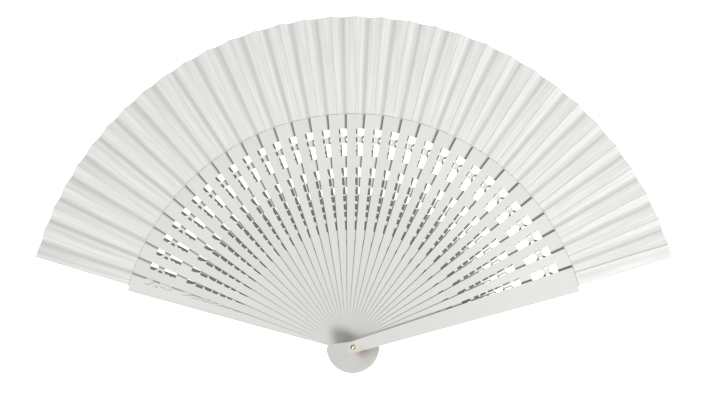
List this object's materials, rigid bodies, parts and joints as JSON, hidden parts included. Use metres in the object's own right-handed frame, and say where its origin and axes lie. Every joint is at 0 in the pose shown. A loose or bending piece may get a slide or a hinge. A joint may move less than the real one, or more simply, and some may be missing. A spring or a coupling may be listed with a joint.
{
  "type": "folding hand fan",
  "caption": "Pleated folding fan: fretted wooden sticks and two plain guards turn on one rivet and carry a pleated cloth leaf. It folds flat.",
  "frame": {"origin": "middle of the rivet's flat tail, in the plane of the back guard's outer face, on which the fan lies", "axes": "+Z along the rivet from the back guard to the front guard, +Y to the middle of the open leaf, +X to the front guard's side"},
  "size_m": [0.4102, 0.2301, 0.0256],
  "materials": {
    "guard_wood": "thin white satin lacquer",
    "stick_wood": "thin white satin lacquer",
    "leaf_cloth": "fine plain weave",
    "rivet_brass": "polished"
  },
  "bodies": {
    "back_guard": {"back_guard": "guard_wood", "rivet": "rivet_brass", "leaf": "leaf_cloth"},
    "front_guard": {"front_guard": "guard_wood"},
    "stick_01": {"stick_01": "stick_wood"},
    "stick_02": {"stick_02": "stick_wood"},
    "stick_03": {"stick_03": "stick_wood"},
    "stick_04": {"stick_04": "stick_wood"},
    "stick_05": {"stick_05": "stick_wood"},
    "stick_06": {"stick_06": "stick_wood"},
    "stick_07": {"stick_07": "stick_wood"},
    "stick_08": {"stick_08": "stick_wood"},
    "stick_09": {"stick_09": "stick_wood"},
    "stick_10": {"stick_10": "stick_wood"},
    "stick_11": {"stick_11": "stick_wood"},
    "stick_12": {"stick_12": "stick_wood"},
    "stick_13": {"stick_13": "stick_wood"},
    "stick_14": {"stick_14": "stick_wood"},
    "stick_15": {"stick_15": "stick_wood"},
    "stick_16": {"stick_16": "stick_wood"},
    "stick_17": {"stick_17": "stick_wood"},
    "stick_18": {"stick_18": "stick_wood"},
    "stick_19": {"stick_19": "stick_wood"},
    "stick_20": {"stick_20": "stick_wood"},
    "stick_21": {"stick_21": "stick_wood"},
    "stick_22": {"stick_22": "stick_wood"},
    "stick_23": {"stick_23": "stick_wood"},
    "stick_24": {"stick_24": "stick_wood"},
    "stick_25": {"stick_25": "stick_wood"},
    "stick_26": {"stick_26": "stick_wood"},
    "stick_27": {"stick_27": "stick_wood"},
    "stick_28": {"stick_28": "stick_wood"},
    "stick_29": {"stick_29": "stick_wood"},
    "stick_30": {"stick_30": "stick_wood"},
    "stick_31": {"stick_31": "stick_wood"},
    "stick_32": {"stick_32": "stick_wood"}
  },
  "joints": [
    {"name": "fan_fold", "type": "hinge", "parent": "back_guard", "child": "front_guard", "pos_m": [0, 0, 0], "axis": [0, 0, -1], "range_deg": [-146.2, 0], "deforming": ["leaf"]},
    {"name": "stick_01_turn", "type": "hinge", "parent": "back_guard", "child": "stick_01", "pos_m": [0, 0, 0], "axis": [0, 0, -1], "range_deg": [-0.601, 0]},
    {"name": "stick_02_turn", "type": "hinge", "parent": "back_guard", "child": "stick_02", "pos_m": [0, 0, 0], "axis": [0, 0, -1], "range_deg": [-4.75, 0]},
    {"name": "stick_03_turn", "type": "hinge", "parent": "back_guard", "child": "stick_03", "pos_m": [0, 0, 0], "axis": [0, 0, -1], "range_deg": [-8.93, 0]},
    {"name": "stick_04_turn", "type": "hinge", "parent": "back_guard", "child": "stick_04", "pos_m": [0, 0, 0], "axis": [0, 0, -1], "range_deg": [-13.14, 0]},
    {"name": "stick_05_turn", "type": "hinge", "parent": "back_guard", "child": "stick_05", "pos_m": [0, 0, 0], "axis": [0, 0, -1], "range_deg": [-17.37, 0]},
    {"name": "stick_06_turn", "type": "hinge", "parent": "back_guard", "child": "stick_06", "pos_m": [0, 0, 0], "axis": [0, 0, -1], "range_deg": [-21.62, 0]},
    {"name": "stick_07_turn", "type": "hinge", "parent": "back_guard", "child": "stick_07", "pos_m": [0, 0, 0], "axis": [0, 0, -1], "range_deg": [-25.9, 0]},
    {"name": "stick_08_turn", "type": "hinge", "parent": "back_guard", "child": "stick_08", "pos_m": [0, 0, 0], "axis": [0, 0, -1], "range_deg": [-30.21, 0]},
    {"name": "stick_09_turn", "type": "hinge", "parent": "back_guard", "child": "stick_09", "pos_m": [0, 0, 0], "axis": [0, 0, -1], "range_deg": [-34.54, 0]},
    {"name": "stick_10_turn", "type": "hinge", "parent": "back_guard", "child": "stick_10", "pos_m": [0, 0, 0], "axis": [0, 0, -1], "range_deg": [-38.9, 0]},
    {"name": "stick_11_turn", "type": "hinge", "parent": "back_guard", "child": "stick_11", "pos_m": [0, 0, 0], "axis": [0, 0, -1], "range_deg": [-43.29, 0]},
    {"name": "stick_12_turn", "type": "hinge", "parent": "back_guard", "child": "stick_12", "pos_m": [0, 0, 0], "axis": [0, 0, -1], "range_deg": [-47.69, 0]},
    {"name": "stick_13_turn", "type": "hinge", "parent": "back_guard", "child": "stick_13", "pos_m": [0, 0, 0], "axis": [0, 0, -1], "range_deg": [-52.13, 0]},
    {"name": "stick_14_turn", "type": "hinge", "parent": "back_guard", "child": "stick_14", "pos_m": [0, 0, 0], "axis": [0, 0, -1], "range_deg": [-56.59, 0]},
    {"name": "stick_15_turn", "type": "hinge", "parent": "back_guard", "child": "stick_15", "pos_m": [0, 0, 0], "axis": [0, 0, -1], "range_deg": [-61.08, 0]},
    {"name": "stick_16_turn", "type": "hinge", "parent": "back_guard", "child": "stick_16", "pos_m": [0, 0, 0], "axis": [0, 0, -1], "range_deg": [-65.59, 0]},
    {"name": "stick_17_turn", "type": "hinge", "parent": "back_guard", "child": "stick_17", "pos_m": [0, 0, 0], "axis": [0, 0, -1], "range_deg": [-70.12, 0]},
    {"name": "stick_18_turn", "type": "hinge", "parent": "back_guard", "child": "stick_18", "pos_m": [0, 0, 0], "axis": [0, 0, -1], "range_deg": [-74.69, 0]},
    {"name": "stick_19_turn", "type": "hinge", "parent": "back_guard", "child": "stick_19", "pos_m": [0, 0, 0], "axis": [0, 0, -1], "range_deg": [-79.28, 0]},
    {"name": "stick_20_turn", "type": "hinge", "parent": "back_guard", "child": "stick_20", "pos_m": [0, 0, 0], "axis": [0, 0, -1], "range_deg": [-83.89, 0]},
    {"name": "stick_21_turn", "type": "hinge", "parent": "back_guard", "child": "stick_21", "pos_m": [0, 0, 0], "axis": [0, 0, -1], "range_deg": [-88.53, 0]},
    {"name": "stick_22_turn", "type": "hinge", "parent": "back_guard", "child": "stick_22", "pos_m": [0, 0, 0], "axis": [0, 0, -1], "range_deg": [-93.19, 0]},
    {"name": "stick_23_turn", "type": "hinge", "parent": "back_guard", "child": "stick_23", "pos_m": [0, 0, 0], "axis": [0, 0, -1], "range_deg": [-97.89, 0]},
    {"name": "stick_24_turn", "type": "hinge", "parent": "back_guard", "child": "stick_24", "pos_m": [0, 0, 0], "axis": [0, 0, -1], "range_deg": [-102.6, 0]},
    {"name": "stick_25_turn", "type": "hinge", "parent": "back_guard", "child": "stick_25", "pos_m": [0, 0, 0], "axis": [0, 0, -1], "range_deg": [-107.34, 0]},
    {"name": "stick_26_turn", "type": "hinge", "parent": "back_guard", "child": "stick_26", "pos_m": [0, 0, 0], "axis": [0, 0, -1], "range_deg": [-112.11, 0]},
    {"name": "stick_27_turn", "type": "hinge", "parent": "back_guard", "child": "stick_27", "pos_m": [0, 0, 0], "axis": [0, 0, -1], "range_deg": [-116.9, 0]},
    {"name": "stick_28_turn", "type": "hinge", "parent": "back_guard", "child": "stick_28", "pos_m": [0, 0, 0], "axis": [0, 0, -1], "range_deg": [-121.72, 0]},
    {"name": "stick_29_turn", "type": "hinge", "parent": "back_guard", "child": "stick_29", "pos_m": [0, 0, 0], "axis": [0, 0, -1], "range_deg": [-126.57, 0]},
    {"name": "stick_30_turn", "type": "hinge", "parent": "back_guard", "child": "stick_30", "pos_m": [0, 0, 0], "axis": [0, 0, -1], "range_deg": [-131.44, 0]},
    {"name": "stick_31_turn", "type": "hinge", "parent": "back_guard", "child": "stick_31", "pos_m": [0, 0, 0], "axis": [0, 0, -1], "range_deg": [-136.33, 0]},
    {"name": "stick_32_turn", "type": "hinge", "parent": "back_guard", "child": "stick_32", "pos_m": [0, 0, 0], "axis": [0, 0, -1], "range_deg": [-141.25, 0]}
  ],
  "couplings": [
    {"joint": "stick_01_turn", "follows": "fan_fold", "ratio": 0.004104},
    {"joint": "stick_02_turn", "follows": "fan_fold", "ratio": 0.032512},
    {"joint": "stick_03_turn", "follows": "fan_fold", "ratio": 0.061096},
    {"joint": "stick_04_turn", "follows": "fan_fold", "ratio": 0.089854},
    {"joint": "stick_05_turn", "follows": "fan_fold", "ratio": 0.11879},
    {"joint": "stick_06_turn", "follows": "fan_fold", "ratio": 0.1479},
    {"joint": "stick_07_turn", "follows": "fan_fold", "ratio": 0.17718},
    {"joint": "stick_08_turn", "follows": "fan_fold", "ratio": 0.20664},
    {"joint": "stick_09_turn", "follows": "fan_fold", "ratio": 0.23627},
    {"joint": "stick_10_turn", "follows": "fan_fold", "ratio": 0.26608},
    {"joint": "stick_11_turn", "follows": "fan_fold", "ratio": 0.29607},
    {"joint": "stick_12_turn", "follows": "fan_fold", "ratio": 0.32622},
    {"joint": "stick_13_turn", "follows": "fan_fold", "ratio": 0.35656},
    {"joint": "stick_14_turn", "follows": "fan_fold", "ratio": 0.38707},
    {"joint": "stick_15_turn", "follows": "fan_fold", "ratio": 0.41775},
    {"joint": "stick_16_turn", "follows": "fan_fold", "ratio": 0.44861},
    {"joint": "stick_17_turn", "follows": "fan_fold", "ratio": 0.47964},
    {"joint": "stick_18_turn", "follows": "fan_fold", "ratio": 0.51085},
    {"joint": "stick_19_turn", "follows": "fan_fold", "ratio": 0.54224},
    {"joint": "stick_20_turn", "follows": "fan_fold", "ratio": 0.5738},
    {"joint": "stick_21_turn", "follows": "fan_fold", "ratio": 0.60553},
    {"joint": "stick_22_turn", "follows": "fan_fold", "ratio": 0.63744},
    {"joint": "stick_23_turn", "follows": "fan_fold", "ratio": 0.66953},
    {"joint": "stick_24_turn", "follows": "fan_fold", "ratio": 0.70179},
    {"joint": "stick_25_turn", "follows": "fan_fold", "ratio": 0.73422},
    {"joint": "stick_26_turn", "follows": "fan_fold", "ratio": 0.76683},
    {"joint": "stick_27_turn", "follows": "fan_fold", "ratio": 0.79961},
    {"joint": "stick_28_turn", "follows": "fan_fold", "ratio": 0.83257},
    {"joint": "stick_29_turn", "follows": "fan_fold", "ratio": 0.86571},
    {"joint": "stick_30_turn", "follows": "fan_fold", "ratio": 0.89902},
    {"joint": "stick_31_turn", "follows": "fan_fold", "ratio": 0.93251},
    {"joint": "stick_32_turn", "follows": "fan_fold", "ratio": 0.96617}
  ]
}
